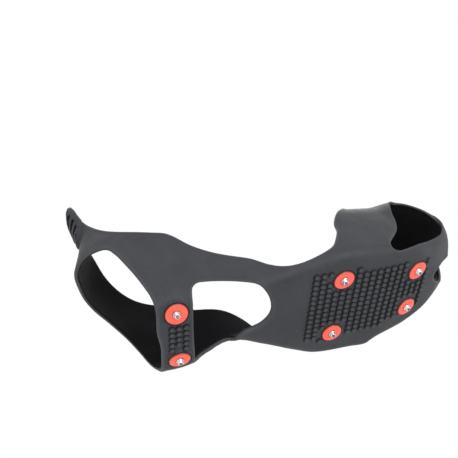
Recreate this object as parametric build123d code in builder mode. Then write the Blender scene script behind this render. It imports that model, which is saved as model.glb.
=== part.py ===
"""Slip-on ice cleats for one shoe: an elastic harness with six studs riveted through it.

+X points to the toe, +Y to the left, +Z up, and the studs stand on the ground at Z = 0.
The harness has the shape it takes when it is pulled over a boot.
"""
import math
import os
from collections import namedtuple

from build123d import *

# ---------------------------------------------------------------- driving dimensions (mm)
wall = 3.0  # thickness of the harness everywhere
tread_z = 5.0  # height of the sole's lower face above the ground
seat_z = tread_z + wall  # height of the face that the boot stands on
floor_sink = 0.4  # how far the lofted body reaches below the flat sole before it is trimmed
corner = 11.0  # bend between the sole and the side walls
side_reach = 70.0  # past every side of the harness

# round back of the heel
heel_x, heel_y = -101.0, -1.2
heel_reach, heel_half = 38.0, 34.5
heel_low_crown, heel_crown = 74.0, 140.0
heel_angles = (6, 15, 27, 42, 62)

# round front of the loop over the toes
nose_x, nose_y, nose_z = 106.0, 2.5, 46.0
nose_reach, nose_half = 33.0, 38.0
nose_below, nose_above = 33.0, 41.5
nose_angles = (70, 52, 36, 21, 9)

# side edges of the loop over the toes, and the opening at the toe's tip
toe_loop_right, toe_loop_left = -23.8, 21.8
toe_tip_x, toe_tip_y, toe_tip_z = 128.5, 4.0, 27.0
toe_tip_width, toe_tip_length, toe_tip_depth = 19.0, 47.0, 12.0
toe_tip_slope = 40.0  # degrees that the toe's tip slopes up there
toe_tip_turn = 26.0  # degrees that the opening is turned to the left

# arch window between the heel strap and the sole
arch_depth = 5.5  # how far its plan outline is cut up through the sole and the bends
arch_right, arch_left = -25.0, 11.0  # from here outwards it is also cut up through the walls

# pull tab behind the heel
tab_x, tab_y, tab_z = -132.6, -7.0, 104.0  # middle of its lower end
tab_thickness, tab_lean = 5.0, 9.5  # lean in degrees backwards
groove_count, groove_pitch, groove_depth, groove_width = 5, 5.8, 1.2, 2.2
groove_length, groove_middle = 23.0, 1.5
first_groove = 7.0  # from the tab's lower end

# studs
disc_d, disc_thickness, disc_sunk, disc_chamfer = 15.0, 2.0, 0.6, 0.5
boss_d, boss_height = 18.0, 2.0
washer_d, washer_thickness = 11.0, 0.8
room = 0.2  # gap round a disc or a washer in its seat
shank_d, shank_hole_d = 3.2, 3.3
head_d, head_tip_d, head_seat = 5.3, 3.8, 0.8
head_hole_d = 5.4
head_straight, head_cone = 1.4, 1.8
rivet_d, rivet_height = 5.2, 0.6
pin_d, pin_hole_d, pin_length, pin_out, pin_chamfer = 1.9, 1.94, 3.6, 1.2, 0.3

# A cross-section of the boot-shaped body: right and left wall, floor, crown, how square the
# crown is, and how far the walls lean to the right for each mm of height.
Section = namedtuple("Section", "x right left floor crown square lean")
flat = tread_z - floor_sink
sections = [
    Section(-85, -35.0, 36.0, flat, 140, 4.0, 0.07),
    Section(-66, -35.5, 31.0, flat, 140, 4.0, 0.07),
    Section(-42, -35.3, 19.0, flat, 140, 4.0, 0.06),
    Section(-20, -37.8, 27.0, flat, 138, 3.6, 0.05),
    Section(2, -42.3, 38.2, flat, 118, 3.2, 0.03),
    Section(20, -45.5, 45.5, flat, 101, 2.8, 0.01),
    Section(38, -47.5, 47.2, flat, 88.5, 2.5, 0.0),
    Section(60, -44.7, 46.9, 5.0, 84.5, 2.3, 0.0),
    Section(80, -41.0, 42.5, 7.0, 85.5, 2.3, 0.0),
    Section(100, -37.5, 41.5, 11.0, 88.0, 2.2, 0.0),
]

# A stud's place on the harness's outer face, and how it tilts in degrees: roll turns its tip
# to the side, pitch turns it to the toe.
Stud = namedtuple("Stud", "name x y z roll pitch")
studs = [
    Stud("heel_right", -82.5, -23.0, 5.0, 12.0, 0.0),
    Stud("heel_left", -80.5, 19.0, 5.0, -10.0, 0.0),
    Stud("ball_right", 30.5, -26.0, tread_z, 0.0, 0.0),
    Stud("ball_left", 29.0, 23.0, tread_z, 0.0, 0.0),
    Stud("toe_right", 89.0, -19.0, 8.4, 0.0, 11.0),
    Stud("toe_left", 88.0, 15.0, 8.2, 0.0, 11.0),
]

# outlines of the openings as seen from the side, in X and Z
foot_opening = [
    (-131, 134.5), (-129, 128), (-127.3, 121), (-121.6, 105.5), (-116, 92.5), (-110, 85),
    (-100.5, 78), (-86, 71.5), (-75.5, 67.5), (-71, 63.5), (-61.5, 52.5), (-47.5, 41.8),
    (-27.5, 29.5), (-17.5, 18.6), (-9.5, 13), (0, 11.2), (10.5, 12), (18, 13.7),
    (24.5, 16.7), (29.5, 23), (34, 31), (36.2, 40), (43.5, 51.5), (54, 64), (62, 74.5),
    (66.5, 85), (68.5, 100), (62, 147.5), (14, 176), (-81, 185.5), (-145, 168), (-150, 148),
    (-141, 141), (-134, 138.5),
]
heel_window_right = [
    (-93, -14), (-93, 3), (-95, 10), (-97.5, 19), (-101.5, 34), (-106.3, 48), (-110.5, 58.5),
    (-115.2, 66.5), (-122.5, 69.8), (-129, 71.3), (-138, 72), (-152, 72.5), (-185, 62),
    (-185, -23.5), (-119, -33),
]
heel_window_left = [
    (-93, -14), (-93, 3), (-94.5, 11), (-98.5, 20), (-103, 30), (-108, 39), (-114, 47),
    (-121, 54.5), (-128, 61), (-133, 67), (-138, 72), (-152, 72.5), (-185, 62),
    (-185, -23.5), (-119, -33),
]
toe_window = [
    (65.5, 10.5), (68.5, 8.7), (75.5, 9.8), (91.5, 15.9), (106.5, 22.9), (119.3, 30.8),
    (127, 40.5), (130.5, 52), (129, 65), (122, 75), (111, 79.5), (101.5, 73), (95, 63.5),
    (90, 52.5), (86, 40.5), (81.4, 31.2), (76.5, 25), (70.5, 19), (66.5, 14.5),
]
# arch window in the walls, in X and Z
arch_side_right = [
    (-71, -2), (-70.7, 9), (-66.5, 15.5), (-52, 14), (-40, 10.8), (-30, 6), (-29, -2),
]
arch_side_left = [
    (-70.3, -2), (-70, 5), (-65.5, 9), (-58, 10), (-50, 9.5), (-43.5, 6.5), (-42, -2),
]
# outline of the arch window in the sole, in X and Y
arch_plan = [
    (-71, -37), (-71.5, -28.5), (-71, -1.5), (-70.2, 14), (-69, 27), (-64, 30.5), (-56, 28),
    (-48, 24.5), (-43.3, 19), (-41, 11.5), (-36, 6.3), (-26, 1.8), (-20.8, -3.5),
    (-18.7, -12), (-20.3, -21.4), (-24.3, -29.4), (-29.1, -35.8), (-39.9, -39.5), (-55, -41),
    (-67, -40.5),
]
# outline of the pull tab, across its back and up from its lower end
tab_outline = [
    (12.5, 34), (0, 35), (-11, 33.5), (-14, 26), (-13, 17), (-9.5, 7), (-4, -2), (8, -2),
    (14, 7), (16, 17), (16.5, 26),
]


def profile_face(section, grow):
    """Cross-section of the body with its walls moved in by grow, standing at its X."""
    floor, crown = section.floor + grow, section.crown - grow
    right, left = section.right, section.left
    middle, half = (right + left) / 2, (left - right) / 2
    bend = min(corner - grow, 0.8 * half, 0.4 * (crown - floor))
    spring = floor + bend
    over = []
    for angle in range(30, 180, 30):
        across, up = math.cos(math.radians(angle)), math.sin(math.radians(angle))
        z = spring + (crown - spring) * up ** (2 / section.square)
        y = middle + math.copysign(half * abs(across) ** (2 / section.square), across)
        over.append((y - section.lean * max(z - 35, 0), z))
    with BuildSketch(Plane.YZ.offset(section.x)) as profile:
        with BuildLine():
            Line((right + bend, floor), (left - bend, floor))
            RadiusArc((left - bend, floor), (left, spring), -bend)
            Spline((left, spring), *over, (right, spring), tangents=[(0, 1), (0, -1)])
            RadiusArc((right, spring), (right + bend, floor), -bend)
        make_face()
    return profile.sketch.face()


def body_faces(grow):
    """All cross-sections from the heel's back to the front of the toe loop."""
    faces = []
    for angle in heel_angles:
        back, side = math.cos(math.radians(angle)), math.sin(math.radians(angle))
        x, half = heel_x - (heel_reach - grow) * back, (heel_half - grow) * side
        crown = heel_low_crown + (heel_crown - heel_low_crown) * side**1.3
        section = Section(x, heel_y - half, heel_y + half, flat, crown, 4.0, 0.07)
        faces.append(profile_face(section, grow))
    for section in sections:
        inner = section._replace(right=section.right + grow, left=section.left - grow)
        faces.append(profile_face(inner, grow))
    for angle in nose_angles:
        front, side = math.cos(math.radians(angle)), math.sin(math.radians(angle))
        x, half = nose_x + (nose_reach - grow) * front, (nose_half - grow) * side**1.2
        floor = nose_z - nose_below * side**1.4
        crown = nose_z + nose_above * side**1.4
        end_grow = grow * side
        section = Section(x, nose_y - half, nose_y + half, floor, crown, 2.0, 0.0)
        faces.append(profile_face(section, end_grow))
    return faces


def stud_plane(stud):
    """Plane on the harness under a stud, with its normal pointing out of the sole."""
    roll, pitch = math.radians(stud.roll), math.radians(stud.pitch)
    outward = (math.sin(pitch), -math.sin(roll), -math.cos(roll) * math.cos(pitch))
    return Plane(origin=(stud.x, stud.y, stud.z), x_dir=(1, 0, 0), z_dir=outward)


def tab_plane():
    """Plane on the back of the pull tab: X to the right, Y up along the tab, Z backwards."""
    lean = math.radians(tab_lean)
    back = (-math.cos(lean), 0, -math.sin(lean))
    return Plane(origin=(tab_x, tab_y, tab_z), x_dir=(0, -1, 0), z_dir=back)


def toe_tip_plane():
    """Plane across the opening at the toe's tip: X to the left, Y up the slope, Z outwards."""
    slope = math.radians(toe_tip_slope)
    outward = (math.sin(slope), 0, -math.cos(slope))
    return Plane(origin=(toe_tip_x, toe_tip_y, toe_tip_z), x_dir=(0, 1, 0), z_dir=outward)


# ---------------------------------------------------------------- harness
# openings seen from the side: outline, Y where the cut starts, and how far it goes outwards
side_cuts = [
    (heel_window_right, 0.0, side_reach),
    (heel_window_left, 0.0, -side_reach),
    (toe_window, toe_loop_right, side_reach),
    (toe_window, toe_loop_left, -side_reach),
    (arch_side_right, arch_right, side_reach),
    (arch_side_left, arch_left, -side_reach),
]

with BuildPart() as foot_space:
    loft(body_faces(wall))
    split(bisect_by=Plane.XY.offset(seat_z), keep=Keep.TOP)

with BuildPart() as harness:
    loft(body_faces(0.0))
    split(bisect_by=Plane.XY.offset(tread_z), keep=Keep.TOP)
    add(foot_space.part, mode=Mode.SUBTRACT)
    # opening for the foot
    with BuildSketch(Plane.XZ):
        with BuildLine():
            Spline(*foot_opening, periodic=True)
        make_face()
    extrude(amount=side_reach, both=True, mode=Mode.SUBTRACT)
    # openings in the right wall, then in the left wall
    for outline, start_y, reach in side_cuts:
        with BuildSketch(Plane.XZ.offset(-start_y)):
            with BuildLine():
                Spline(*outline, periodic=True)
            make_face()
        extrude(amount=reach, mode=Mode.SUBTRACT)
    # arch window through the sole
    with BuildSketch(Plane.XY):
        with BuildLine():
            Spline(*arch_plan, periodic=True)
        make_face()
    extrude(amount=tread_z + arch_depth, mode=Mode.SUBTRACT)
    # opening at the toe's tip
    with BuildSketch(toe_tip_plane()):
        Ellipse(toe_tip_width / 2, toe_tip_length / 2, rotation=-toe_tip_turn)
    extrude(amount=toe_tip_depth, both=True, mode=Mode.SUBTRACT)
    # pull tab with its grooves
    with BuildSketch(tab_plane()):
        with BuildLine():
            Spline(*tab_outline, periodic=True)
        make_face()
    extrude(amount=-tab_thickness)
    with BuildSketch(tab_plane()):
        for groove in range(groove_count):
            with Locations((groove_middle, first_groove + groove * groove_pitch)):
                SlotOverall(groove_length, groove_width)
    extrude(amount=-groove_depth, mode=Mode.SUBTRACT)
    # seats and holes of the studs
    for stud in studs:
        with BuildSketch(stud_plane(stud).offset(-boss_height)):
            Circle(boss_d / 2)
        extrude(amount=boss_height)
        with BuildSketch(stud_plane(stud).offset(-disc_sunk)):
            Circle(disc_d / 2 + room)
        extrude(amount=wall, mode=Mode.SUBTRACT)
        with BuildSketch(stud_plane(stud).offset(washer_thickness - wall)):
            Circle(washer_d / 2 + room)
        extrude(amount=-wall, mode=Mode.SUBTRACT)
        with BuildSketch(stud_plane(stud)):
            Circle(shank_hole_d / 2)
        extrude(amount=-wall, mode=Mode.SUBTRACT)

harness.part.label = "harness"
finished = [harness.part]

# ---------------------------------------------------------------- studs
for stud in studs:
    seat = stud_plane(stud)
    inner = washer_thickness - wall  # lower face of the washer, inside the sole
    disc_top = disc_thickness - disc_sunk
    head_foot = disc_top - head_seat
    head_top = head_foot + head_straight + head_cone

    with BuildPart() as disc:
        with BuildSketch(seat.offset(-disc_sunk)):
            Circle(disc_d / 2)
            Circle(shank_hole_d / 2, mode=Mode.SUBTRACT)
        extrude(amount=disc_thickness)
        rim = disc.faces().sort_by(Axis(seat.origin, seat.z_dir))[-1].outer_wire()
        chamfer(rim.edges(), disc_chamfer)
        with BuildSketch(seat.offset(disc_top)):
            Circle(head_hole_d / 2)
        extrude(amount=-head_seat, mode=Mode.SUBTRACT)

    with BuildPart() as spike:
        with BuildSketch(seat.offset(head_foot)):
            Circle(head_d / 2)
        extrude(amount=head_straight)
        with BuildSketch(seat.offset(head_foot + head_straight)):
            Circle(head_d / 2)
        with BuildSketch(seat.offset(head_top)):
            Circle(head_tip_d / 2)
        loft()
        with BuildSketch(seat.offset(head_foot)):
            Circle(shank_d / 2)
        extrude(amount=-(head_foot + wall))
        with BuildSketch(seat.offset(-wall)):
            Circle(rivet_d / 2)
        extrude(amount=-rivet_height)
        with BuildSketch(seat.offset(head_top)):
            Circle(pin_hole_d / 2)
        extrude(amount=-(pin_length - pin_out), mode=Mode.SUBTRACT)

    with BuildPart() as pin:
        with BuildSketch(seat.offset(head_top + pin_out)):
            Circle(pin_d / 2)
        extrude(amount=-pin_length)
        tip = pin.faces().sort_by(Axis(seat.origin, seat.z_dir))[-1]
        chamfer(tip.edges(), pin_chamfer)

    with BuildPart() as washer:
        with BuildSketch(seat.offset(inner)):
            Circle(washer_d / 2)
            Circle(shank_hole_d / 2, mode=Mode.SUBTRACT)
        extrude(amount=-washer_thickness)

    for piece, kind in ((disc, "disc"), (spike, "spike"), (pin, "pin"), (washer, "washer")):
        piece.part.label = f"{stud.name}_{kind}"
        finished.append(piece.part)

# ---------------------------------------------------------------- one STEP for each piece
os.makedirs("parts", exist_ok=True)
for piece in finished:
    export_step(piece, f"parts/{piece.label}.step")
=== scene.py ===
"""Slip-on ice cleats: an elastic rubber harness with six studs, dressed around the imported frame.

Shapes are worked out in millimetres and turned into metres where a mesh is made.
"""
import math

import bmesh
import bpy
import numpy as np
from mathutils import Matrix, Vector


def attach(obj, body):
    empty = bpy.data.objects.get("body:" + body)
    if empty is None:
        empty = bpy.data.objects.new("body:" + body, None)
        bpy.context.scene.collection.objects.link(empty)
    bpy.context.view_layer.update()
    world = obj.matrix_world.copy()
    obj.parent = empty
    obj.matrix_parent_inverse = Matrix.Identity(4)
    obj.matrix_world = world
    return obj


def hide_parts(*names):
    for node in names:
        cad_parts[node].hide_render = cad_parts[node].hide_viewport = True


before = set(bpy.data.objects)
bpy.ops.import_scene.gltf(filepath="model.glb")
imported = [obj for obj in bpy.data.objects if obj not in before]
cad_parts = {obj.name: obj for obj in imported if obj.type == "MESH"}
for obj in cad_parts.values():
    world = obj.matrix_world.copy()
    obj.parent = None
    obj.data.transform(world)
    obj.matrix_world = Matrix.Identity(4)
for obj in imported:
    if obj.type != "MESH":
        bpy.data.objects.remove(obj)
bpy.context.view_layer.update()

MM = 0.001

# ---------------------------------------------------------------- sizes of the harness (mm)
WALL = 3.0
TREAD_Z = 5.0  # lower face of the sole above the ground
EDGE_ROUND = 1.25  # how round the cut edges are
BEAD, BEAD_WIDTH = 0.45, 4.0  # raised lip along the cut edges
GRID_STEP = 0.85  # of the grid that the harness's mesh is worked out on
GRID_LOW, GRID_HIGH = (-148, -56, -1), (146, 56, 146)
REACH = 500.0  # larger than any size of the harness

# outline of the sole, in X and Y
SOLE = [
    (-139, -3.5), (-134, -18), (-121.5, -29), (-101.5, -34), (-76, -35.5), (-47.5, -35), (-24, -37),
    (5, -43), (33, -47.5), (57, -45), (79, -41), (100, -34), (116, -24), (127, -10.5),
    (131, 4), (129, 20.5), (116, 34), (94, 39.5), (71, 43), (62, 48.5), (47.5, 47.5),
    (19, 45.5), (1.5, 38), (-22, 26.3), (-42, 18.5), (-58, 26), (-71, 34.5), (-91, 36.5),
    (-107.5, 32), (-123.5, 23), (-134, 12),
]
# opening for the foot, in X and Z
FOOT_OPENING = [
    (-132.2, 134.5), (-130.6, 128), (-128.4, 121), (-122, 105.5), (-116, 92.5), (-110, 85),
    (-100.5, 78), (-86, 71.5), (-75.5, 67.5), (-71, 63.5), (-61.5, 52.5), (-47.5, 41.8),
    (-27.5, 29.5), (-17.5, 18.6), (-9.5, 13), (0, 11.2), (10.5, 12), (18, 13.7), (24.5, 16.7),
    (29.5, 23), (34, 31), (36.2, 40), (43.5, 51.5), (54, 64), (62, 74.5), (66.5, 85),
    (68.5, 100), (62, 147.5), (14, 176), (-81, 185.5), (-145, 168), (-145, 141), (-134, 138.5),
]
# opening behind the heel strap, in X and Z, on each side of the heel
HEEL_WINDOW_RIGHT = [
    (-93, -14), (-93.5, 0), (-95, 8.5), (-97.5, 18), (-101.5, 34), (-106.3, 48), (-110.5, 58.5),
    (-115.2, 66.5), (-122.5, 69.8), (-129, 71.8), (-138, 73), (-152, 73), (-185, 62),
    (-185, -23.5), (-119, -33),
]
HEEL_WINDOW_LEFT = [
    (-92.5, -14), (-91.5, 0), (-92, 6), (-94, 12), (-98.5, 20), (-103, 30), (-108, 39),
    (-114, 47), (-121, 54.5), (-128, 60), (-134, 65.5), (-140, 70.5), (-152, 72.5),
    (-185, 62), (-185, -23.5), (-119, -33),
]
# opening at each side of the toe loop, in X and Z
TOE_WINDOW = [
    (65.5, 10.5), (68.5, 8.7), (75.5, 9.8), (91.5, 15.9), (106.5, 22.9), (119.3, 30.8),
    (127, 40.5), (130.5, 52), (129, 65), (122, 75), (111, 79.5), (101.5, 73), (95, 63.5),
    (90, 52.5), (86, 40.5), (81.4, 31.2), (76.5, 25), (70.5, 19), (66.5, 14.5),
]
TOE_WINDOW_Y, TOE_WINDOW_HALF = -1.0, 22.8
# opening under the arch, in X and the distance across the sole and up its sides
ARCH_WINDOW = [
    (-71, -38), (-71.5, -28.5), (-71, -1.5), (-70.2, 14), (-69, 29), (-65.5, 34),
    (-59, 31), (-51, 27), (-45.5, 23.5), (-42.8, 19), (-41, 11.5), (-36, 6.3), (-26, 1.8),
    (-20.8, -3.5), (-18.7, -12), (-20.3, -21.4), (-24.3, -29.4), (-29.1, -35.8),
    (-39.9, -40.8), (-52, -44.4), (-61, -46), (-66.5, -46), (-69.8, -43),
]
ARCH_TOP_Z = 33.0  # it ends below this height
ARCH_BEND = 15.0  # it bends up the sides over this distance from the middle
HEEL_BLEND = 10.0  # half the width in which one side's heel outline turns into the other's

# oval opening in front of the toes, on a slope and turned to the left
TOE_TIP_X, TOE_TIP_Y, TOE_TIP_Z = 128.5, 4.0, 27.0
TOE_TIP_HALF_WIDTH, TOE_TIP_HALF_LENGTH, TOE_TIP_DEPTH = 9.5, 23.5, 12.0
TOE_TIP_SLOPE, TOE_TIP_TURN = math.radians(40), math.radians(26)

# height of the crown over the foot along X, and how it falls to each side
CROWN_X = [-24, 14, 38, 57, 71, 82.5, 95, 106.5, 120.5, 130, 138, 147]
CROWN_Z = [147.5, 105.5, 88.5, 84.5, 84.5, 86, 88, 89, 87.5, 82.5, 71, 52.5]
CROWN_FALL, CROWN_ROUND = 0.0063, 20.5
CROWN_STEEP = 0.06  # square of the crown's usual slope along X
# where the heel's walls turn into the forefoot's along X, and those into the toe's
FRONT_X, FRONT_SPAN = 4.75, 57
TIP_X, TIP_SPAN = 80.75, 38
# how far the walls stand in from the sole's outline, by height
FOREFOOT_IN = ([5, 26, 40, 51.5, 64, 81], [0, 0, 1.1, 3.0, 5.2, 8.5])
HEEL_IN = ([5, 24, 43, 76, 90.5, 105, 128.5, 157], [0, 0, 0.3, 1.6, 5.5, 8.3, 4.6, 0.5])
TIP_IN = ([5, 14.5, 29, 41, 52.5, 64, 81], [0, 0, -5.4, -9.0, -9.5, -7.5, -2.0])
TIP_SHIFT, TIP_SHIFT_Z = 3.0, (20, 50)  # the toes' upper part stands to the right
# how round the bend between the sole and the walls is, along X
BEND = ([-100, -62, -24, 62, 95, 120.5], [14, 12.5, 9.5, 8.5, 11.5, 19])
LEAN, LEAN_Z = 0.075, 33.5  # above this height the heel's walls lean to the right
SPRING, SPRING_X = 0.00274, 52.3  # the sole curves up towards the toe from here

# pull tab: the heel's wall, flatter here, with a raised shield and grooves across its back
TAB_Y, TAB_Z, TAB_RISE = -7.0, 112.0, 18.0
TAB_FLATTEN, TAB_REACH = 0.015, 12.5
TAB_X = -100.0  # everything on the tab is behind here
SHIELD = [
    (-12.5, 138), (0, 139), (11, 137.5), (14, 130), (13, 121), (8.5, 111), (1, 105),
    (-6.5, 105.5), (-13, 112), (-16, 121), (-16.5, 130),
]
SHIELD_RAISE, SHIELD_EDGE = 2.6, 1.6
GROOVES, GROOVE_FIRST, GROOVE_PITCH = 5, 109.0, 5.2
GROOVE_END = 2.4  # how far inside the shield's outline the grooves end
GROOVE_RADIUS, GROOVE_DEPTH, GROOVE_ROUND = 1.0, 1.5, 0.4

# nubs under the sole
NUB_PITCH_X, NUB_PITCH_Y = 5.2, 4.4
NUB_FIRST_X, NUB_COLUMNS = 10.0, 18
NUB_CLEAR = 10.3  # from the middle of a stud
NUB_MIDDLE_Y, NUB_HALF_ROWS = -1.5, 8
# right and left edge of the forefoot's field along X
NUB_EDGE_X = [10, 30, 89, 104]
NUB_RIGHT, NUB_LEFT = [-35.5, -34, -27, -22], [29, 30, 22, 17]
HEEL_NUB_X, HEEL_NUB_Y = (-85.5, -81.0, -76.3), (-10.0, -5.25, -0.5, 4.25, 9.0)


# ---------------------------------------------------------------- curves and distances
def smooth_table(xs, ys, samples=400):
    """Cubic curve through a few values, as finely sampled tables for np.interp."""
    xs, ys = np.array(xs, float), np.array(ys, float)
    slope = np.gradient(ys, xs)
    at = np.linspace(xs[0], xs[-1], samples)
    i = np.clip(np.searchsorted(xs, at) - 1, 0, len(xs) - 2)
    width = xs[i + 1] - xs[i]
    t = (at - xs[i]) / width
    value = (2 * t**3 - 3 * t**2 + 1) * ys[i] + (t**3 - 2 * t**2 + t) * width * slope[i]
    value += (-2 * t**3 + 3 * t**2) * ys[i + 1] + (t**3 - t**2) * width * slope[i + 1]
    return at, value


def smoothstep(t):
    """Runs smoothly from 0 to 1 while t does."""
    t = np.clip(t, 0, 1)
    return t * t * (3 - 2 * t)


def on_line(a, b, low, high, t):
    """Point at t on the line that is at a for low and at b for high."""
    share = (t - low) / (high - low)
    return a * (1 - share) + b * share


def closed_curve(points, steps=10):
    """Points along the smooth closed curve (centripetal Catmull-Rom) through the given ones."""
    points = np.array(points, float)
    out = []
    for i in range(len(points)):
        p = [points[(i + k) % len(points)] for k in (-1, 0, 1, 2)]
        knot = [0.0]
        for a, b in zip(p, p[1:]):
            knot.append(knot[-1] + math.sqrt(math.dist(a, b)))
        for t in np.linspace(knot[1], knot[2], steps, endpoint=False):
            near = [on_line(p[k], p[k + 1], knot[k], knot[k + 1], t) for k in range(3)]
            wide = [on_line(near[k], near[k + 1], knot[k], knot[k + 2], t) for k in range(2)]
            out.append(on_line(*wide, knot[1], knot[2], t))
    return np.array(out)


class Outline:
    """Signed distance to a closed curve in a plane, negative inside, read from a fine grid."""

    def __init__(self, points, margin=40.0, step=1.0):
        curve = closed_curve(points)
        self.low, self.step = curve.min(0) - margin, step
        self.size = ((curve.max(0) + margin - self.low) / step).astype(int) + 2
        u = self.low[0] + np.arange(self.size[0]) * step
        v = self.low[1] + np.arange(self.size[1]) * step
        u, v = np.meshgrid(u, v, indexing="ij")
        nearest = np.full(u.shape, 1e9)
        inside = np.zeros(u.shape, bool)
        for (u0, v0), (u1, v1) in zip(curve, np.roll(curve, -1, 0)):
            du, dv = u1 - u0, v1 - v0
            t = np.clip(((u - u0) * du + (v - v0) * dv) / (du * du + dv * dv), 0, 1)
            nearest = np.minimum(nearest, (u - u0 - t * du) ** 2 + (v - v0 - t * dv) ** 2)
            if v0 != v1:
                inside ^= ((v0 > v) != (v1 > v)) & (u < du * (v - v0) / dv + u0)
        self.grid = np.where(inside, -1, 1) * np.sqrt(nearest)

    def __call__(self, u, v):
        u = np.clip((u - self.low[0]) / self.step, 0, self.size[0] - 1.001)
        v = np.clip((v - self.low[1]) / self.step, 0, self.size[1] - 1.001)
        i, j = u.astype(int), v.astype(int)
        u, v, g = u - i, v - j, self.grid
        near = g[i, j] * (1 - u) + g[i + 1, j] * u
        return near * (1 - v) + (g[i, j + 1] * (1 - u) + g[i + 1, j + 1] * u) * v


def meet(a, b, r):
    """What is in both shapes, with its edge rounded by r."""
    u, v = np.maximum(r + a, 0), np.maximum(r + b, 0)
    return np.minimum(-r, np.maximum(a, b)) + np.sqrt(u * u + v * v)


def join(a, b, r):
    """What is in either shape, with the corner between them filled by r."""
    return -meet(-a, -b, r)


# ---------------------------------------------------------------- studs' places, from the frame
STUDS = ["heel_right", "heel_left", "ball_right", "ball_left", "toe_right", "toe_left"]
DISC_SUNK = 0.6
# low ring of rubber round a disc: its radius, how far it stands out, and its two roundings
SEAT_RADIUS, SEAT_RAISE, SEAT_ROUND, SEAT_FILL = 8.9, 0.3, 0.5, 0.6
# room for a washer: its radius, where it starts and ends inside the sole, and its rounding
ROOM_RADIUS, ROOM_START, ROOM_END, ROOM_ROUND = 5.7, 2.2, 7.0, 0.2


def stud_place(name):
    """Middle of a stud on the sole's outer face, and the direction that its tip points in."""
    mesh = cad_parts[f"{name}_disc"].data
    points = np.array([v.co for v in mesh.vertices], float) / MM
    middle = (points.min(0) + points.max(0)) / 2
    away = np.linalg.svd(points - points.mean(0), full_matrices=False)[2][2]
    away = away * -math.copysign(1, away[2])
    seat = (points - middle) @ away
    return middle + away * (seat.min() + DISC_SUNK), away


places = {name: stud_place(name) for name in STUDS}

# ---------------------------------------------------------------- form of the harness
sole, foot_opening = Outline(SOLE), Outline(FOOT_OPENING)
heel_right, heel_left = Outline(HEEL_WINDOW_RIGHT), Outline(HEEL_WINDOW_LEFT)
toe_window, arch_window, shield = Outline(TOE_WINDOW), Outline(ARCH_WINDOW), Outline(SHIELD)
crown_table = smooth_table(CROWN_X, CROWN_Z)
forefoot_table = smooth_table(*FOREFOOT_IN)
heel_table = smooth_table(*HEEL_IN)
tip_table = smooth_table(*TIP_IN)
bend_table = smooth_table(*BEND)


def sole_height(x):
    """Height of the sole's lower face along X."""
    return TREAD_Z + SPRING * np.clip(x - SPRING_X, 0, None) ** 2


def foot_form(x, y, z):
    """Distance to the boot-shaped form whose surface is the harness's outer face."""
    front = np.clip((x - FRONT_X) / FRONT_SPAN, 0, 1)
    tip = smoothstep((x - TIP_X) / TIP_SPAN)
    middle = -LEAN * np.clip(z - LEAN_Z, 0, None) * (1 - front)
    middle -= TIP_SHIFT * smoothstep((z - TIP_SHIFT_Z[0]) / (TIP_SHIFT_Z[1] - TIP_SHIFT_Z[0])) * tip
    inset = np.interp(z, *heel_table) * (1 - front) + np.interp(z, *tip_table) * tip
    inset += np.interp(z, *forefoot_table) * front * (1 - tip)
    flatter = TAB_FLATTEN * np.minimum(np.abs(y - TAB_Y), TAB_REACH) ** 2
    inset -= flatter * smoothstep((z - TAB_Z) / TAB_RISE) * (x < TAB_X)
    wall = sole(x, y - middle) + inset
    slope = 2 * SPRING * np.clip(x - SPRING_X, 0, None)
    below = (sole_height(x) - z) / np.sqrt(1 + slope**2)
    form = meet(wall, below, np.interp(x, *bend_table))
    crown = np.interp(x, *crown_table) - CROWN_FALL * y * y
    above = (z - crown) / np.sqrt(1 + CROWN_STEEP + (2 * CROWN_FALL * y) ** 2)
    return meet(form, above, CROWN_ROUND)


def openings(x, y, z):
    """Distance into the openings: positive inside any of them."""
    left = smoothstep((y + HEEL_BLEND) / (2 * HEEL_BLEND))
    cut = np.maximum(-foot_opening(x, z), -heel_right(x, z) * (1 - left) - heel_left(x, z) * left)
    up_the_side = np.clip(z - sole_height(x), 0, None)
    across = y + np.sign(y) * up_the_side * smoothstep(np.abs(y) / ARCH_BEND)
    cut = np.maximum(cut, np.where(z < ARCH_TOP_Z, -arch_window(x, across), -REACH))
    side = TOE_WINDOW_HALF - np.abs(y - TOE_WINDOW_Y)
    cut = np.maximum(cut, -np.maximum(toe_window(x, z), side))
    forward, up = x - TOE_TIP_X, z - TOE_TIP_Z
    along = forward * math.cos(TOE_TIP_SLOPE) + up * math.sin(TOE_TIP_SLOPE)
    out = np.abs(forward * math.sin(TOE_TIP_SLOPE) - up * math.cos(TOE_TIP_SLOPE))
    side = y - TOE_TIP_Y
    lengthwise = along * math.cos(TOE_TIP_TURN) + side * math.sin(TOE_TIP_TURN)
    widthwise = side * math.cos(TOE_TIP_TURN) - along * math.sin(TOE_TIP_TURN)
    ring = np.hypot(lengthwise / TOE_TIP_HALF_LENGTH, widthwise / TOE_TIP_HALF_WIDTH) - 1
    return np.maximum(cut, -np.maximum(ring * TOE_TIP_HALF_WIDTH, out - TOE_TIP_DEPTH))


def tab_shield(x, y, z):
    """How far the shield on the pull tab's back stands out of the heel's wall."""
    return SHIELD_RAISE * smoothstep(0.5 - shield(y - TAB_Y, z) / SHIELD_EDGE) * (x < TAB_X)


def tab_grooves(y, z, form):
    """Distance to the nearest groove across the pull tab's back."""
    nearest = np.clip(np.round((z - GROOVE_FIRST) / GROOVE_PITCH), 0, GROOVES - 1)
    up = z - GROOVE_FIRST - nearest * GROOVE_PITCH
    into = (form - SHIELD_RAISE) * GROOVE_RADIUS / GROOVE_DEPTH
    beside = np.maximum(shield(y - TAB_Y, z) + GROOVE_END, 0)
    return np.sqrt(up**2 + into**2 + beside**2) - GROOVE_RADIUS


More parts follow.
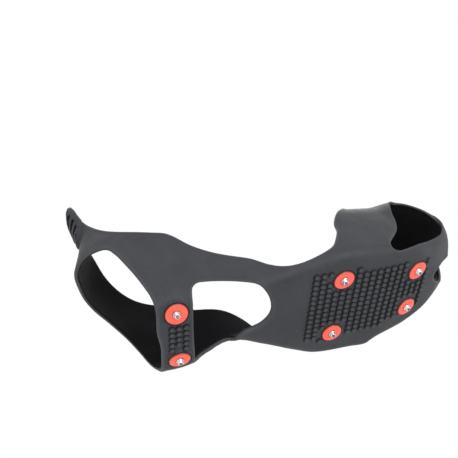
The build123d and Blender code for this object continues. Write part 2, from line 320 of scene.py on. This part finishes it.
def stud_seats(x, y, z, shape):
    """The harness with a low ring round each stud, and room for its washer inside."""
    for middle, away in places.values():
        dx, dy, dz = x - middle[0], y - middle[1], z - middle[2]
        out = dx * away[0] + dy * away[1] + dz * away[2]
        radius = np.sqrt(np.maximum(dx * dx + dy * dy + dz * dz - out * out, 0))
        thick = np.maximum(out - SEAT_RAISE, -ROOM_START - out)
        shape = join(shape, meet(radius - SEAT_RADIUS, thick, SEAT_ROUND), SEAT_FILL)
        deep = np.maximum(out + ROOM_START, -ROOM_END - out)
        shape = meet(shape, -np.maximum(radius - ROOM_RADIUS, deep), ROOM_ROUND)
    return shape


def harness_form(p):
    """Distance to the harness's surface, negative inside the rubber."""
    x, y, z = p[:, 0], p[:, 1], p[:, 2]
    form = foot_form(x, y, z)
    cut = openings(x, y, z)
    bead = BEAD * smoothstep(1 + cut / BEAD_WIDTH)
    shell = np.maximum(form - bead - tab_shield(x, y, z), -form - WALL)
    shape = meet(shell, cut, EDGE_ROUND)
    shape = meet(shape, -tab_grooves(y, z, form), GROOVE_ROUND)
    return stud_seats(x, y, z, shape)


# ---------------------------------------------------------------- places of the nubs
def nub_spots():
    """Where the nubs stand under the forefoot and the heel strap, in X and Y."""
    spots = []
    for column in range(NUB_COLUMNS):
        x = NUB_FIRST_X + column * NUB_PITCH_X
        right = np.interp(x, NUB_EDGE_X, NUB_RIGHT)
        left = np.interp(x, NUB_EDGE_X, NUB_LEFT)
        for row in range(-NUB_HALF_ROWS, NUB_HALF_ROWS):
            y = NUB_MIDDLE_Y + row * NUB_PITCH_Y
            if right <= y <= left:
                spots.append((x, y))
    for x in HEEL_NUB_X:
        for y in HEEL_NUB_Y:
            spots.append((x, y))
    return [spot for spot in spots if clear_of_studs(*spot)]


def clear_of_studs(x, y):
    """Whether a nub here stands clear of every stud."""
    return all(math.hypot(x - m[0], y - m[1]) > NUB_CLEAR for m, _ in places.values())


def nub_distance(x, y):
    """Distance in X and Y to the nearest nub's middle."""
    nearest = np.full(x.shape, REACH)
    for spot_x, spot_y in nub_spots():
        nearest = np.minimum(nearest, np.hypot(x - spot_x, y - spot_y))
    return nearest


def stud_distance(x, y):
    """Distance in X and Y to the nearest stud's middle."""
    return np.minimum.reduce([np.hypot(x - m[0], y - m[1]) for m, _ in places.values()])


# ---------------------------------------------------------------- from a distance to a mesh
CORNERS = [(i, j, k) for i in (0, 1) for j in (0, 1) for k in (0, 1)]
BLOCK = 4  # cells of the fine grid in one of the coarse grid
NEAR = 1.25  # how many coarse cells away the surface may be
# how far points move to even out the mesh and onto the surface in a round, and the least slope
EVEN_OUT, PULL_ON, LEAST_SLOPE = 0.5, 0.9, 0.3


def near_surface(form, axes):
    """Marks the points of the fine grid that lie in a coarse cell near the surface."""
    coarse = [a[::BLOCK] for a in axes]
    spots = np.stack(np.meshgrid(*coarse, indexing="ij"), -1)
    value = form(spots.reshape(-1, 3)).reshape(spots.shape[:3])
    close = np.abs(value) < BLOCK * GRID_STEP * NEAR
    cells = np.zeros([n - 1 for n in close.shape], bool)
    for i, j, k in CORNERS:
        cells |= close[i:i + cells.shape[0], j:j + cells.shape[1], k:k + cells.shape[2]]
    marked = np.zeros([len(a) for a in axes], bool)
    for i, j, k in np.argwhere(cells) * BLOCK:
        marked[i:i + BLOCK + 1, j:j + BLOCK + 1, k:k + BLOCK + 1] = True
    return marked


def surface_net(form, low, high):
    """Closed mesh of quads over the surface where form is zero: its points and its faces."""
    counts = [int((h - l) / GRID_STEP / BLOCK + 1) * BLOCK + 1 for l, h in zip(low, high)]
    axes = [l + np.arange(n) * GRID_STEP for l, n in zip(low, counts)]
    marked = near_surface(form, axes)
    index = np.argwhere(marked)
    spots = np.array(low) + index * GRID_STEP
    value = np.full(marked.shape, REACH)
    value[marked] = np.concatenate([form(part) for part in np.array_split(spots, 12)])
    inside = value < 0

    shape = [n - 1 for n in value.shape]
    hits = np.zeros(shape, int)
    for i, j, k in CORNERS:
        hits += inside[i:i + shape[0], j:j + shape[1], k:k + shape[2]]
    cells = np.argwhere((hits > 0) & (hits < 8))
    number = np.full(shape, -1)
    number[tuple(cells.T)] = np.arange(len(cells))

    total, crossings = np.zeros((len(cells), 3)), np.zeros(len(cells))
    for a in CORNERS:
        for axis in range(3):
            if a[axis]:
                continue
            b = tuple(1 if n == axis else a[n] for n in range(3))
            va, vb = value[tuple((cells + a).T)], value[tuple((cells + b).T)]
            crossed = (va < 0) != (vb < 0)
            share = np.where(crossed, va / np.where(crossed, va - vb, 1), 0)
            total += crossed[:, None] * (np.array(a) + share[:, None] * (np.array(b) - a))
            crossings += crossed
    points = np.array(low) + (cells + total / crossings[:, None]) * GRID_STEP

    faces = []
    for axis in range(3):
        u, v = (axis + 1) % 3, (axis + 2) % 3
        first = np.take(inside, range(shape[axis]), axis)
        second = np.take(inside, range(1, shape[axis] + 1), axis)
        for leaving in (True, False):
            edge = np.argwhere((first != second) & (first == leaving))
            quad = []
            for du, dv in ((-1, -1), (0, -1), (0, 0), (-1, 0)):
                cell = edge.copy()
                cell[:, u] += du
                cell[:, v] += dv
                quad.append(number[tuple(cell.T)])
            quad = np.stack(quad, 1)
            faces.append(quad if leaving else quad[:, ::-1])
    return points, np.concatenate(faces)


def gradient(form, p, step=0.08):
    """Slope of a form at some points, from its values a step to each side."""
    sides = []
    for axis in range(3):
        shift = np.zeros(3)
        shift[axis] = step
        sides.append((form(p + shift) - form(p - shift)) / (2 * step))
    return np.stack(sides, 1)


def settle(form, points, faces, rounds=4):
    """Evens out a mesh along the surface, and puts its points exactly on it."""
    a = faces.ravel()
    b = np.roll(faces, -1, 1).ravel()
    count = np.bincount(a, minlength=len(points)) + np.bincount(b, minlength=len(points))
    for turn in range(rounds):
        slope = gradient(form, points)
        length = np.maximum(np.linalg.norm(slope, axis=1, keepdims=True), LEAST_SLOPE)
        if turn < rounds - 1:
            mean = np.zeros_like(points)
            for axis in range(3):
                mean[:, axis] = np.bincount(a, points[b, axis], len(points))
                mean[:, axis] += np.bincount(b, points[a, axis], len(points))
            move = mean / count[:, None] - points
            normal = slope / length
            along = move - normal * (move * normal).sum(1, keepdims=True)
            points = points + EVEN_OUT * along
        off = np.clip(form(points), -GRID_STEP, GRID_STEP)
        points = points - PULL_ON * off[:, None] * slope / length**2
    return points


def mesh_object(name, points, faces, smooth=True):
    """A mesh object in metres from points in millimetres."""
    mesh = bpy.data.meshes.new(name)
    mesh.from_pydata([tuple(p) for p in np.asarray(points) * MM], [], [tuple(f) for f in faces])
    mesh.validate()
    mesh.polygons.foreach_set("use_smooth", [smooth] * len(mesh.polygons))
    piece = bpy.data.objects.new(name, mesh)
    bpy.context.scene.collection.objects.link(piece)
    return piece


def add_values(piece, name, values):
    """Stores one number for each point of the mesh, for its material to read."""
    store = piece.data.attributes.new(name, "FLOAT", "POINT")
    store.data.foreach_set("value", np.asarray(values, np.float32))


# ---------------------------------------------------------------- materials
RUBBER_DARK, RUBBER_LIGHT = (0.019, 0.020, 0.0235), (0.029, 0.030, 0.035)
RUBBER_DUST, RUBBER_WORN = (0.046, 0.048, 0.054), (0.062, 0.065, 0.073)
# near-black painted shade, where the inside, the grooves, the gaps between the nubs and the ring
# round each disc would lie in shadow
RUBBER_PAINTED_SHADE = (0.005, 0.005, 0.006)
DISC_RED, DISC_LIGHT = (0.80, 0.085, 0.050), (0.87, 0.110, 0.066)
# dark red painted shade for a disc's rounded rim and side wall
DISC_EDGE_SHADE = (0.16, 0.012, 0.010)
STEEL_DARK, STEEL_LIGHT = (0.56, 0.57, 0.59), (0.78, 0.79, 0.80)
CARBIDE_DARK, CARBIDE_LIGHT = (0.16, 0.16, 0.175), (0.30, 0.30, 0.32)


def new_material(name):
    """A material with a Principled shader: its node tree and that shader."""
    material = bpy.data.materials.new(name)
    material.use_nodes = True
    return material, material.node_tree, material.node_tree.nodes["Principled BSDF"]


def noise(tree, scale, detail=4.0, rough=0.55, stretch=None):
    """Noise over the object's own coordinates, in metres, optionally stretched."""
    where = tree.nodes.new("ShaderNodeTexCoord").outputs["Object"]
    if stretch:
        mapping = tree.nodes.new("ShaderNodeMapping")
        mapping.inputs["Scale"].default_value = stretch
        tree.links.new(where, mapping.inputs["Vector"])
        where = mapping.outputs["Vector"]
    texture = tree.nodes.new("ShaderNodeTexNoise")
    texture.inputs["Scale"].default_value = scale
    texture.inputs["Detail"].default_value = detail
    texture.inputs["Roughness"].default_value = rough
    tree.links.new(where, texture.inputs["Vector"])
    return texture.outputs["Fac"]


def span(tree, value, low, high, new_low, new_high):
    """Maps a value from one range to another."""
    node = tree.nodes.new("ShaderNodeMapRange")
    node.inputs["From Min"].default_value = low
    node.inputs["From Max"].default_value = high
    node.inputs["To Min"].default_value = new_low
    node.inputs["To Max"].default_value = new_high
    tree.links.new(value, node.inputs["Value"])
    return node.outputs["Result"]


def blend(tree, share, one, other):
    """Mixes two colours, each a plain colour or a socket, by a share that is a socket."""
    node = tree.nodes.new("ShaderNodeMix")
    node.data_type = "RGBA"
    tree.links.new(share, node.inputs["Factor"])
    for socket, colour in ((node.inputs["A"], one), (node.inputs["B"], other)):
        if isinstance(colour, tuple):
            socket.default_value = (*colour, 1)
        else:
            tree.links.new(colour, socket)
    return node.outputs["Result"]


def bump(tree, shader, height, distance, strength):
    """Gives a shader fine relief from a height, over a distance in metres."""
    node = tree.nodes.new("ShaderNodeBump")
    node.inputs["Distance"].default_value = distance
    node.inputs["Strength"].default_value = strength
    tree.links.new(height, node.inputs["Height"])
    tree.links.new(node.outputs["Normal"], shader.inputs["Normal"])


def stored(tree, name):
    """The number that add_values stored for each point."""
    node = tree.nodes.new("ShaderNodeAttribute")
    node.attribute_name = name
    return node.outputs["Fac"]


def rubber_material(name):
    """Moulded rubber: dusty dark grey, scuffed at its rims, with near-black painted shade and less
    shine inside, in the grooves, between the nubs and round the discs.
    """
    material, tree, shader = new_material(name)
    cloudy = span(tree, noise(tree, 28, 5), 0.35, 0.68, 0, 1)
    speckle = span(tree, noise(tree, 900, 3), 0.4, 0.75, 0, 0.35)
    colour = blend(tree, cloudy, RUBBER_DARK, RUBBER_LIGHT)
    colour = blend(tree, speckle, colour, RUBBER_DUST)
    colour = blend(tree, stored(tree, "worn"), colour, RUBBER_WORN)
    # painted shade: near black by the share stored on each point
    colour = blend(tree, stored(tree, "painted_shade"), colour, RUBBER_PAINTED_SHADE)
    tree.links.new(colour, shader.inputs["Base Color"])
    dull = span(tree, noise(tree, 60, 4), 0.3, 0.7, 0.50, 0.66)
    tree.links.new(dull, shader.inputs["Roughness"])
    # less shine where the shade is painted, so that it stays dark
    shine = span(tree, stored(tree, "painted_shade"), 0, 1, 0.3, 0.06)
    tree.links.new(shine, shader.inputs["Specular IOR Level"])
    bump(tree, shader, noise(tree, 1500, 3), 0.00008, 0.6)
    return material


def disc_material():
    """Moulded orange-red plastic, darker in patches, with painted shade round its edge, and fine
    pores.
    """
    material, tree, shader = new_material("stud_disc_plastic")
    patches = span(tree, noise(tree, 220, 3), 0.35, 0.7, 0, 1)
    colour = blend(tree, patches, DISC_RED, DISC_LIGHT)
    # painted shade round the disc's edge
    colour = blend(tree, stored(tree, "edge"), colour, DISC_EDGE_SHADE)
    tree.links.new(colour, shader.inputs["Base Color"])
    dull = span(tree, noise(tree, 500, 3), 0.3, 0.7, 0.34, 0.46)
    tree.links.new(dull, shader.inputs["Roughness"])
    shader.inputs["Subsurface Weight"].default_value = 0.08
    shader.inputs["Subsurface Radius"].default_value = (0.0012, 0.0004, 0.0003)
    bump(tree, shader, noise(tree, 2500, 2), 0.00004, 0.5)
    return material


def steel_material(name, dark, light, rough_low, rough_high):
    """Turned metal: fine marks and duller patches."""
    material, tree, shader = new_material(name)
    patches = span(tree, noise(tree, 700, 4), 0.35, 0.7, 0, 1)
    tree.links.new(blend(tree, patches, dark, light), shader.inputs["Base Color"])
    shader.inputs["Metallic"].default_value = 1.0
    dull = span(tree, noise(tree, 1200, 3), 0.3, 0.7, rough_low, rough_high)
    tree.links.new(dull, shader.inputs["Roughness"])
    bump(tree, shader, noise(tree, 900, 3, stretch=(1, 1, 9)), 0.00004, 0.5)
    return material


# ---------------------------------------------------------------- harness
SOLE_TOP_Z = 25.0  # the sole's lower face is below here, even at the toe
# where each tone starts, and over how much it fades: first the painted shade
INSIDE_DEPTH, INSIDE_FADE = 1.6, 1.0
TAB_LIGHT_Z, TAB_LIGHT_FADE = 122, 24  # the inside's painted shade fades out up the tab, so it turns as light as the outside
# painted shade in the grooves across the tab
GROOVE_TONE = 0.35
BETWEEN_TONE, BETWEEN_REACH, BETWEEN_FADE = 0.6, 2.8, 0.8  # painted shade between the nubs
BETWEEN_DEPTH, BETWEEN_DEPTH_FADE = 1.2, 0.8
RIM_TONE, RIM_REACH, RIM_FADE = 0.9, 8.5, 0.7  # painted shade round the discs
# and then the scuffed one, along the cut edges
WORN_TONE, WORN_REACH, WORN_FADE = 0.6, 0.2, 1.6
WORN_DEPTH, WORN_DEPTH_FADE = 2.6, 1.2


def painted_shade_share(x, y, z, depth):
    """How much painted shade a point gets: inside, in the grooves, between the nubs and round the
    discs.
    """
    inside = smoothstep((-depth - INSIDE_DEPTH) / INSIDE_FADE)
    inside = inside * smoothstep((TAB_LIGHT_Z - z) / TAB_LIGHT_FADE)
    groove = smoothstep(1 - tab_grooves(y, z, depth) / GROOVE_TONE)
    under = z < SOLE_TOP_Z
    between = BETWEEN_TONE * smoothstep((BETWEEN_REACH - nub_distance(x, y)) / BETWEEN_FADE)
    between = between * smoothstep((depth + BETWEEN_DEPTH) / BETWEEN_DEPTH_FADE) * under
    rim = RIM_TONE * smoothstep((RIM_REACH - stud_distance(x, y)) / RIM_FADE) * under
    return np.maximum.reduce([inside, groove, between, rim])


def worn_share(x, y, z, depth):
    """How scuffed a point is: along the outer edges of the openings."""
    edge = smoothstep(1 + (openings(x, y, z) + WORN_REACH) / WORN_FADE)
    return WORN_TONE * edge * smoothstep((depth + WORN_DEPTH) / WORN_DEPTH_FADE)


def make_harness(rubber):
    """The whole rubber moulding, in place of the CAD one."""
    points, faces = surface_net(harness_form, GRID_LOW, GRID_HIGH)
    points = settle(harness_form, points, faces)
    harness = mesh_object("rubber_harness", points, faces)
    x, y, z = points.T
    depth = foot_form(x, y, z)
    add_values(harness, "painted_shade", painted_shade_share(x, y, z, depth))
    add_values(harness, "worn", worn_share(x, y, z, depth))
    harness.data.materials.append(rubber)
    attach(harness, "root")
    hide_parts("harness")


rubber = rubber_material("moulded_rubber")
make_harness(rubber)

# ---------------------------------------------------------------- nubs
NUB_SIDES = 14
# radius and height of the rings of one nub, from inside the rubber to the middle of its top
NUB_RINGS = [(2.0, -0.9), (1.9, 0.0), (1.8, 0.25), (1.7, 1.05), (1.5, 1.4), (1.0, 1.6)]
NUB_TOP = 1.3  # above this height a nub is a little scuffed, and below it darker with painted shade where it meets the sole
NUB_WORN_TONE, NUB_WORN_FADE, NUB_FOOT_SHADE, NUB_FOOT_FADE = 0.25, 0.3, 0.6, 0.6


def on_sole(x, y):
    """Point on the sole's lower face at x and y, and the direction out of it."""
    z = float(sole_height(x))
    for _ in range(6):
        spot = np.array([[x, y, z]])
        slope = gradient(lambda p: foot_form(*p.T), spot)[0]
        z -= float(foot_form(*spot.T)[0]) / slope[2]
    return np.array([x, y, z]), slope / np.linalg.norm(slope)


def make_nubs(rubber):
    """All the nubs under the sole, as one piece."""
    points, faces = [], []
    for x, y in nub_spots():
        foot, away = on_sole(x, y)
        turn = Vector((0, 0, 1)).rotation_difference(Vector(away)).to_matrix()
        first = len(points)
        for radius, height in NUB_RINGS:
            for side in range(NUB_SIDES):
                angle = 2 * math.pi * side / NUB_SIDES
                spot = Vector((radius * math.cos(angle), radius * math.sin(angle), height))
                points.append(foot + np.array(turn @ spot))
        for ring in range(len(NUB_RINGS) - 1):
            for side in range(NUB_SIDES):
                a = first + ring * NUB_SIDES + side
                b = first + ring * NUB_SIDES + (side + 1) % NUB_SIDES
                faces.append((a, b, b + NUB_SIDES, a + NUB_SIDES))
        last = first + (len(NUB_RINGS) - 1) * NUB_SIDES
        faces.append(tuple(range(last, last + NUB_SIDES)))
        faces.append(tuple(reversed(range(first, first + NUB_SIDES))))
    nubs = mesh_object("sole_nubs", points, faces)
    high = foot_form(*np.array(points).T)
    add_values(nubs, "worn", NUB_WORN_TONE * smoothstep((high - NUB_TOP) / NUB_WORN_FADE))
    # painted shade round the foot of each nub
    add_values(nubs, "painted_shade", NUB_FOOT_SHADE * smoothstep((NUB_TOP - high) / NUB_FOOT_FADE))
    nubs.data.materials.append(rubber)
    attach(nubs, "root")


make_nubs(rubber)

# ---------------------------------------------------------------- studs
LATHE_SIDES = 64
DISC_EDGE_FROM, DISC_EDGE_FADE = 6.85, 0.3  # radius from which a disc is painted darker, as shade on its rounded rim and side wall
CRISP_ANGLE = math.radians(40)  # a turned edge sharper than this isn't smoothed over
# profiles as radius and height above the sole, round the outside and back through the middle
DISC_PROFILE = [
    (1.65, -0.6), (7.25, -0.6), (7.5, -0.4), (7.5, 0.45), (7.4, 0.7), (7.2, 0.95), (7.0, 1.12),
    (6.8, 1.2), (4.4, 1.3), (3.4, 1.36), (2.95, 1.34), (2.8, 1.25), (2.72, 0.6), (1.65, 0.6),
]
SPIKE_PROFILE = [
    (0.97, 1.4), (0.97, 3.72), (1.05, 3.8), (1.65, 3.8), (1.82, 3.7), (1.9, 3.5), (2.3, 2.4),
    (2.35, 2.25), (2.5, 2.15), (2.6, 2.0), (2.65, 1.85), (2.65, 0.75), (2.5, 0.6),
    (1.6, 0.6), (1.6, -3.0), (2.45, -3.0), (2.6, -3.15), (2.55, -3.35), (2.1, -3.55),
    (1.2, -3.6), (0.0, -3.6),
]
PIN_PROFILE = [
    (0.0, 1.4), (0.95, 1.4), (0.95, 4.6), (0.9, 4.75), (0.65, 4.97), (0.5, 5.0), (0.3, 4.93),
    (0.0, 4.88),
]
WASHER_PROFILE = [
    (1.65, -2.95), (1.7, -3.0), (5.3, -3.0), (5.5, -2.85), (5.5, -2.35), (5.35, -2.2),
    (1.7, -2.2), (1.65, -2.25),
]


def lathe(name, profile, middle, away):
    """A closed body turned from a profile about a stud's axis."""
    turn = Vector((0, 0, 1)).rotation_difference(Vector(away)).to_matrix()
    points, rings = [], []
    for radius, height in profile:
        sides = 1 if radius == 0 else LATHE_SIDES
        ring = []
        for side in range(sides):
            angle = 2 * math.pi * side / LATHE_SIDES
            spot = Vector((radius * math.cos(angle), radius * math.sin(angle), height))
            ring.append(len(points))
            points.append(middle + np.array(turn @ spot))
        rings.append(ring)
    faces = []
    pairs = list(zip(rings, rings[1:]))
    if len(rings[0]) > 1 and len(rings[-1]) > 1:
        pairs.append((rings[-1], rings[0]))
    for one, two in pairs:
        for side in range(LATHE_SIDES):
            after = (side + 1) % LATHE_SIDES
            corners = [one[side % len(one)], one[after % len(one)]]
            corners += [two[after % len(two)], two[side % len(two)]]
            faces.append(tuple(dict.fromkeys(corners)))
    return mesh_object(name, points, faces)


def close_off(piece):
    """Points every face of a closed mesh outwards, and keeps its edges crisp."""
    work = bmesh.new()
    work.from_mesh(piece.data)
    bmesh.ops.remove_doubles(work, verts=work.verts, dist=1e-8)
    bmesh.ops.recalc_face_normals(work, faces=work.faces)
    work.to_mesh(piece.data)
    work.free()
    piece.data.polygons.foreach_set("use_smooth", [True] * len(piece.data.polygons))
    piece.data.set_sharp_from_angle(angle=CRISP_ANGLE)


def make_studs():
    """The turned pieces of every stud, in place of the CAD ones."""
    steel = steel_material("stud_steel", STEEL_DARK, STEEL_LIGHT, 0.16, 0.30)
    carbide = steel_material("stud_carbide", CARBIDE_DARK, CARBIDE_LIGHT, 0.30, 0.45)
    kinds = [
        ("disc", DISC_PROFILE, disc_material(), "disc"),
        ("spike", SPIKE_PROFILE, steel, "steel"),
        ("pin", PIN_PROFILE, carbide, "carbide"),
        ("washer", WASHER_PROFILE, steel, "steel"),
    ]
    for name, (middle, away) in places.items():
        for kind, profile, material, slot in kinds:
            piece = lathe(f"turned_{name}_{kind}", profile, middle, away)
            close_off(piece)
            if kind == "disc":
                # painted shade: the disc's outer rim darker by its radius
                out = np.array([v.co for v in piece.data.vertices]) / MM - middle
                radius = np.linalg.norm(np.cross(out, away), axis=1)
                add_values(piece, "edge", smoothstep((radius - DISC_EDGE_FROM) / DISC_EDGE_FADE))
            piece.data.materials.append(material)
            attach(piece, "root")
            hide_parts(f"{name}_{kind}")


make_studs()


# ---------------------------------------------------------------- stage, light and camera
FLOOR_HALF = 30000.0
FLOOR_GREY, FLOOR_GLOW = (0.5, 0.5, 0.5, 1), 0.46  # half painted and half lit, for soft shadows
AIM = (0.0, 0.0, 0.04)  # the lamps face this place on the cleat, in metres
# name, place in metres, width in metres and power in watts of each lamp
LAMPS = [
    ("key", (-0.25, -1.1, 0.35), 0.9, 3),
    ("top", (0.3, 0.4, 1.3), 1.2, 9),
    ("under", (0.29, -0.83, -0.66), 0.5, 7),
]


def make_floor():
    """A pale floor that is seen from above only, and keeps no light from the sole."""
    signs = ((-1, -1), (1, -1), (1, 1), (-1, 1))
    corners = [(u * FLOOR_HALF, v * FLOOR_HALF, 0) for u, v in signs]
    floor = mesh_object("studio_floor", corners, [(0, 1, 2, 3)], smooth=False)
    material, tree, shader = new_material("studio_floor_paint")
    shader.inputs["Base Color"].default_value = FLOOR_GREY
    shader.inputs["Emission Color"].default_value = (1, 1, 1, 1)
    shader.inputs["Emission Strength"].default_value = FLOOR_GLOW
    shader.inputs["Roughness"].default_value = 0.85
    shader.inputs["Specular IOR Level"].default_value = 0.1
    clear = tree.nodes.new("ShaderNodeBsdfTransparent")
    one_way = tree.nodes.new("ShaderNodeMixShader")
    share = tree.nodes.new("ShaderNodeNewGeometry").outputs["Backfacing"]
    path = tree.nodes.new("ShaderNodeLightPath")
    for kind in ("Is Shadow Ray", "Is Diffuse Ray", "Is Glossy Ray"):
        either = tree.nodes.new("ShaderNodeMath")
        either.operation = "MAXIMUM"
        tree.links.new(share, either.inputs[0])
        tree.links.new(path.outputs[kind], either.inputs[1])
        share = either.outputs["Value"]
    tree.links.new(share, one_way.inputs["Fac"])
    tree.links.new(shader.outputs["BSDF"], one_way.inputs[1])
    tree.links.new(clear.outputs["BSDF"], one_way.inputs[2])
    tree.links.new(one_way.outputs["Shader"], tree.nodes["Material Output"].inputs["Surface"])
    floor.data.materials.append(material)


def soft_light(name, place, size, power):
    """A round lamp that faces the cleat."""
    data = bpy.data.lights.new(name, "AREA")
    data.shape, data.size, data.energy = "DISK", size, power
    lamp = bpy.data.objects.new(name, data)
    lamp.location = place
    lamp.rotation_mode = "QUATERNION"
    lamp.rotation_quaternion = (Vector(AIM) - Vector(place)).to_track_quat("-Z", "Y")
    bpy.context.scene.collection.objects.link(lamp)


def make_light():
    """A white studio all round, and the lamps."""
    world = bpy.data.worlds.new("studio")
    bpy.context.scene.world = world
    world.use_nodes = True
    world.node_tree.nodes["Background"].inputs["Color"].default_value = (1.0, 1.0, 1.0, 1)
    world.node_tree.nodes["Background"].inputs["Strength"].default_value = 1.0
    for lamp in LAMPS:
        soft_light(*lamp)
    bpy.context.scene.view_settings.view_transform = "Standard"


# the camera's place in metres and its directions, solved from the photo's perspective
CAMERA_PLACE = (-0.1465, -0.3015, -0.2682)
CAMERA_RIGHT = (0.9541, -0.0452, -0.2960)
CAMERA_DOWN = (-0.1445, 0.7962, -0.5875)


def make_camera():
    """A 50 mm camera below and behind the right side, which looks up at the sole."""
    data = bpy.data.cameras.new("camera")
    data.lens, data.sensor_width = 50, 36
    data.clip_start, data.clip_end = 0.01, 200
    camera = bpy.data.objects.new("camera", data)
    right, down = Vector(CAMERA_RIGHT).normalized(), Vector(CAMERA_DOWN)
    ahead = right.cross(down).normalized()
    up = -ahead.cross(right)
    turn = Matrix((right, up, -ahead)).transposed()
    camera.matrix_world = Matrix.Translation(CAMERA_PLACE) @ turn.to_4x4()
    bpy.context.scene.collection.objects.link(camera)
    bpy.context.scene.camera = camera


make_floor()
make_light()
make_camera()
